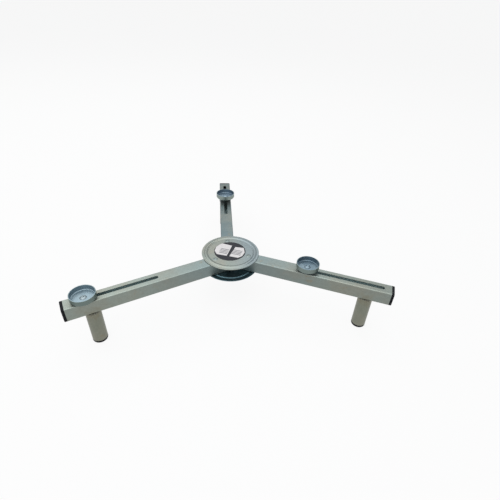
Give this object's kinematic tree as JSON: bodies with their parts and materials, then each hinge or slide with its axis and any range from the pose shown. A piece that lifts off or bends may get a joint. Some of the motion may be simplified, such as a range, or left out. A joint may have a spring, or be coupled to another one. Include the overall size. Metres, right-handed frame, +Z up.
{
  "type": "folding burner support stand",
  "caption": "Low folding stand: pressed round hub plates clamp pivoting slotted square-tube arms, each with a shallow cup that slides and screws up and down, and a round leg.",
  "frame": {"origin": "on the hub's axis, in the plane of the raised bead on the top plate; the floor is 117.4 mm below", "axes": "+Z up, out of the top plate; +Y from the hub's axis through the rear arm's pivot bolt, so at rest the rear arm leans 7.5 degrees from it towards +X; +X to the right of someone who looks along +Y"},
  "size_m": [0.6583, 0.5516, 0.1335],
  "materials": {
    "zinc_plate": "zinc-plated pressed sheet, satin, faintly mottled",
    "zinc_tube": "zinc-plated drawn tube, satin with grey-green cast",
    "blue_zinc": "bright blue-passivated zinc on pressed sheet",
    "zinc_fastener": "zinc-plated fastener",
    "plain_steel": "plain turned or cut steel inside the hub and tubes",
    "weld_metal": "plated weld bead, rough",
    "black_plastic": "moulded black polyethylene"
  },
  "bodies": {
    "hub": {"hub_top_plate": "zinc_plate", "hub_bottom_plate": "zinc_plate", "pivot_bolt_rear": "zinc_fastener", "pivot_bolt_left": "zinc_fastener", "pivot_bolt_right": "zinc_fastener", "pivot_sleeve_rear": "plain_steel", "pivot_sleeve_left": "plain_steel", "pivot_sleeve_right": "plain_steel", "pivot_washer_rear": "zinc_fastener", "pivot_washer_left": "zinc_fastener", "pivot_washer_right": "zinc_fastener", "pivot_nut_rear": "zinc_fastener", "pivot_nut_left": "zinc_fastener", "pivot_nut_right": "zinc_fastener"},
    "arm_rear": {"arm_tube_rear": "zinc_tube", "arm_plug_rear": "black_plastic", "leg_tube_rear": "zinc_tube", "leg_weld_rear": "weld_metal", "leg_foot_rear": "black_plastic"},
    "arm_left": {"arm_tube_left": "zinc_tube", "arm_plug_left": "black_plastic", "leg_tube_left": "zinc_tube", "leg_weld_left": "weld_metal", "leg_foot_left": "black_plastic"},
    "arm_right": {"arm_tube_right": "zinc_tube", "arm_plug_right": "black_plastic", "leg_tube_right": "zinc_tube", "leg_weld_right": "weld_metal", "leg_foot_right": "black_plastic"},
    "slide_rear": {"slide_block_rear": "plain_steel"},
    "slide_left": {"slide_block_left": "plain_steel"},
    "slide_right": {"slide_block_right": "plain_steel"},
    "cup_rear": {"cup_rear": "blue_zinc", "cup_bolt_rear": "blue_zinc", "cup_nut_rear": "zinc_fastener"},
    "cup_left": {"cup_left": "blue_zinc", "cup_bolt_left": "blue_zinc", "cup_nut_left": "zinc_fastener"},
    "cup_right": {"cup_right": "blue_zinc", "cup_bolt_right": "blue_zinc", "cup_nut_right": "zinc_fastener"}
  },
  "joints": [
    {"name": "arm_rear_swing", "type": "hinge", "parent": "hub", "child": "arm_rear", "pos_m": [0, 0.043, -0.0184], "axis": [0, 0, 1], "range_deg": [-80, 80]},
    {"name": "arm_left_swing", "type": "hinge", "parent": "hub", "child": "arm_left", "pos_m": [-0.03724, -0.0215, -0.0184], "axis": [0, 0, 1], "range_deg": [-107.5, 80]},
    {"name": "arm_right_swing", "type": "hinge", "parent": "hub", "child": "arm_right", "pos_m": [0.03724, -0.0215, -0.0184], "axis": [0, 0, 1], "range_deg": [-80, 113]},
    {"name": "cup_rear_slide", "type": "slide", "parent": "arm_rear", "child": "slide_rear", "axis": [0.1305, 0.9914, 0], "range_m": [-0.07841, 0.07999]},
    {"name": "cup_left_slide", "type": "slide", "parent": "arm_left", "child": "slide_left", "axis": [-0.9537, -0.3007, 0], "range_m": [-0.14018, 0.01822]},
    {"name": "cup_right_slide", "type": "slide", "parent": "arm_right", "child": "slide_right", "axis": [0.8616, -0.5075, 0], "range_m": [0, 0.1584]},
    {"name": "cup_rear_height", "type": "slide", "parent": "slide_rear", "child": "cup_rear", "axis": [0, 0, 1], "range_m": [-0.005, 0.005]},
    {"name": "cup_left_height", "type": "slide", "parent": "slide_left", "child": "cup_left", "axis": [0, 0, 1], "range_m": [0, 0.01]},
    {"name": "cup_right_height", "type": "slide", "parent": "slide_right", "child": "cup_right", "axis": [0, 0, 1], "range_m": [-0.005, 0.005]}
  ]
}
